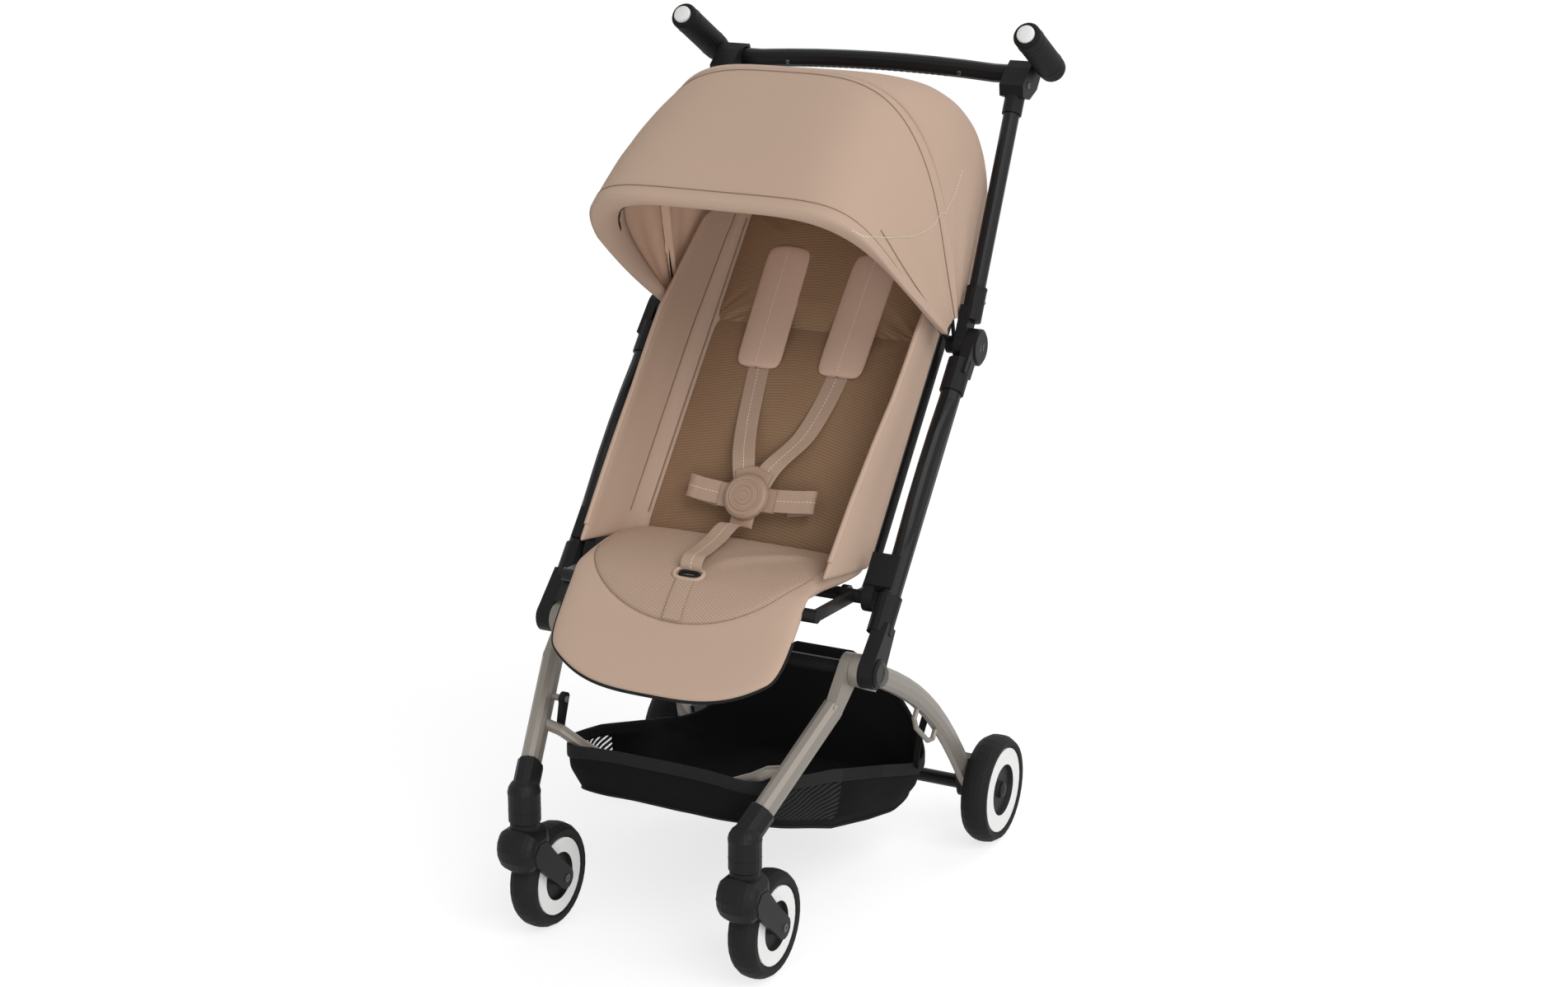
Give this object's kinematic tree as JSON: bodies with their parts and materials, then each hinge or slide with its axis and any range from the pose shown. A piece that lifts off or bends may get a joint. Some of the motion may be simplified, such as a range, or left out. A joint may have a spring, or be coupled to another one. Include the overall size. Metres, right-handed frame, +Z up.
{
  "type": "travel stroller",
  "caption": "Compact folding travel stroller with bucket seat, fan canopy, harness, basket, casters and twin grips.",
  "frame": {"origin": "on the floor, under the middle of the stroller's bounding box", "axes": "+Z up, -Y forward (the way the stroller rolls), +X to the sitter's left"},
  "size_m": [0.4968, 0.6858, 1.0294],
  "materials": {
    "black_plastic": "satin moulded",
    "champagne_paint": "satin metallic",
    "black_paint": "matt powder coat",
    "tan_fabric": "smooth woven",
    "tan_webbing": "ribbed webbing",
    "tan_plastic": "satin moulded",
    "dark_fabric": "coarse woven and mesh",
    "grip_foam": "fine grained",
    "pale_button": "smooth",
    "tyre": "matt foam rubber",
    "pale_rim": "smooth"
  },
  "bodies": {
    "chassis": {"front_leg_left": "champagne_paint", "front_leg_right": "champagne_paint", "hub_pin_left": "black_plastic", "hub_pin_right": "black_plastic", "hub_cross_tube": "champagne_paint", "fold_latch_block": "black_plastic", "front_cross_brace": "champagne_paint", "caster_barrel_left": "black_plastic", "caster_barrel_right": "black_plastic", "basket": "dark_fabric"},
    "rear_legs": {"rear_leg_left": "champagne_paint", "rear_leg_right": "champagne_paint", "rear_foot_left": "black_plastic", "rear_foot_right": "black_plastic", "rear_axle_tube": "black_paint"},
    "brake": {"brake_pedal": "black_plastic"},
    "hook": {"fold_hook": "black_plastic"},
    "push_frame": {"hub_socket_left": "black_plastic", "hub_socket_right": "black_plastic", "lower_tube_left": "black_paint", "lower_tube_right": "black_paint", "hinge_outer_left": "black_plastic", "hinge_outer_right": "black_plastic", "seat_clamp_left": "black_plastic", "seat_clamp_right": "black_plastic", "buckle": "tan_plastic", "harness_webbing": "tan_webbing"},
    "buckle_release": {"buckle_button": "tan_plastic"},
    "seat": {"seat_frame": "black_paint", "seat_cushion": "tan_fabric"},
    "calf_flap": {"leg_rest": "tan_fabric"},
    "backrest": {"backrest_frame": "black_paint", "backrest_cushion": "tan_fabric", "shoulder_pad_left": "tan_fabric", "shoulder_pad_right": "tan_fabric"},
    "handle": {"hinge_inner_left": "black_plastic", "hinge_inner_right": "black_plastic", "upper_tube_left": "black_paint", "upper_tube_right": "black_paint", "handle_bracket_left": "black_plastic", "handle_bracket_right": "black_plastic", "crossbar": "black_plastic", "grip_left": "grip_foam", "grip_right": "grip_foam"},
    "canopy_main": {"canopy_main_bow": "black_plastic", "canopy_rear_panel": "tan_fabric"},
    "canopy_front": {"canopy_front_bow": "black_plastic", "canopy_front_panel": "tan_fabric"},
    "rear_wheel_left": {"rear_wheel_left_tyre": "tyre", "rear_wheel_left_rim": "pale_rim"},
    "front_wheel_left": {"front_wheel_left_tyre": "tyre", "front_wheel_left_rim": "pale_rim"},
    "caster_left": {"caster_fork_left": "black_plastic"},
    "thumb_button_left": {"grip_button_left": "pale_button"},
    "rear_wheel_right": {"rear_wheel_right_tyre": "tyre", "rear_wheel_right_rim": "pale_rim"},
    "front_wheel_right": {"front_wheel_right_tyre": "tyre", "front_wheel_right_rim": "pale_rim"},
    "caster_right": {"caster_fork_right": "black_plastic"},
    "thumb_button_right": {"grip_button_right": "pale_button"}
  },
  "joints": [
    {"name": "frame_fold", "type": "hinge", "parent": "chassis", "child": "push_frame", "pos_m": [0, -0.1396, 0.3349], "axis": [1, 0, 0], "range_deg": [0, 140], "deforming": ["basket", "seat_cushion", "leg_rest", "backrest_cushion", "harness_webbing", "shoulder_pad_left", "shoulder_pad_right", "canopy_rear_panel", "canopy_front_panel"]},
    {"name": "rear_leg_fold", "type": "hinge", "parent": "chassis", "child": "rear_legs", "pos_m": [0, -0.1396, 0.3349], "axis": [1, 0, 0], "range_deg": [-103.8, 0]},
    {"name": "handle_fold", "type": "hinge", "parent": "push_frame", "child": "handle", "pos_m": [0, 0.13787, 0.65612], "axis": [1, 0, 0], "range_deg": [-175.4, 0]},
    {"name": "seat_fold", "type": "hinge", "parent": "push_frame", "child": "seat", "pos_m": [0, -0.082, 0.402], "axis": [1, 0, 0], "range_deg": [-84, 0]},
    {"name": "canopy_main_fold", "type": "hinge", "parent": "handle", "child": "canopy_main", "pos_m": [0, 0.13787, 0.65612], "axis": [1, 0, 0], "range_deg": [-43, 0]},
    {"name": "canopy_fold", "type": "hinge", "parent": "canopy_main", "child": "canopy_front", "pos_m": [0, 0.13787, 0.65612], "axis": [-1, 0, 0], "range_deg": [0, 36], "deforming": ["canopy_front_panel"]},
    {"name": "backrest_recline", "type": "hinge", "parent": "push_frame", "child": "backrest", "pos_m": [0, -0.082, 0.402], "axis": [1, 0, 0], "range_deg": [-25, 0], "deforming": ["harness_webbing", "canopy_rear_panel", "backrest_cushion"]},
    {"name": "leg_rest_raise", "type": "hinge", "parent": "seat", "child": "calf_flap", "pos_m": [0, -0.18186, 0.40723], "axis": [1, 0, 0], "range_deg": [-48, 0]},
    {"name": "brake_press", "type": "hinge", "parent": "rear_legs", "child": "brake", "pos_m": [0, 0.1992, 0.0687], "axis": [1, 0, 0], "range_deg": [-18, 0]},
    {"name": "hook_swing", "type": "hinge", "parent": "chassis", "child": "hook", "pos_m": [-0.17353, -0.21956, 0.26685], "axis": [1, 0, 0], "range_deg": [0, 60]},
    {"name": "buckle_press", "type": "slide", "parent": "push_frame", "child": "buckle_release", "axis": [0, 0.848, -0.5299], "range_m": [0, 0.003], "stiffness_N_per_m": 300},
    {"name": "caster_swivel_left", "type": "hinge", "parent": "chassis", "child": "caster_left", "pos_m": [0.1438, -0.31506, 0.16], "axis": [0, 0, 1], "continuous": true},
    {"name": "front_wheel_spin_left", "type": "hinge", "parent": "caster_left", "child": "front_wheel_left", "pos_m": [0.1438, -0.26786, 0.063], "axis": [1, 0, 0], "continuous": true},
    {"name": "rear_wheel_spin_left", "type": "hinge", "parent": "rear_legs", "child": "rear_wheel_left", "pos_m": [0.2295, 0.1992, 0.0687], "axis": [1, 0, 0], "continuous": true},
    {"name": "thumb_press_left", "type": "slide", "parent": "handle", "child": "thumb_button_left", "axis": [0, 0.8746, -0.4848], "range_m": [0, 0.004], "stiffness_N_per_m": 300},
    {"name": "caster_swivel_right", "type": "hinge", "parent": "chassis", "child": "caster_right", "pos_m": [-0.1438, -0.31506, 0.16], "axis": [0, 0, 1], "continuous": true},
    {"name": "front_wheel_spin_right", "type": "hinge", "parent": "caster_right", "child": "front_wheel_right", "pos_m": [-0.1438, -0.26786, 0.063], "axis": [1, 0, 0], "continuous": true},
    {"name": "rear_wheel_spin_right", "type": "hinge", "parent": "rear_legs", "child": "rear_wheel_right", "pos_m": [-0.2295, 0.1992, 0.0687], "axis": [1, 0, 0], "continuous": true},
    {"name": "thumb_press_right", "type": "slide", "parent": "handle", "child": "thumb_button_right", "axis": [0, 0.8746, -0.4848], "range_m": [0, 0.004], "stiffness_N_per_m": 300}
  ],
  "couplings": [
    {"joint": "rear_leg_fold", "follows": "frame_fold", "ratio": -0.74143},
    {"joint": "handle_fold", "follows": "frame_fold", "ratio": -1.2529},
    {"joint": "seat_fold", "follows": "frame_fold", "ratio": -0.6},
    {"joint": "canopy_main_fold", "follows": "frame_fold", "ratio": -0.30714}
  ]
}
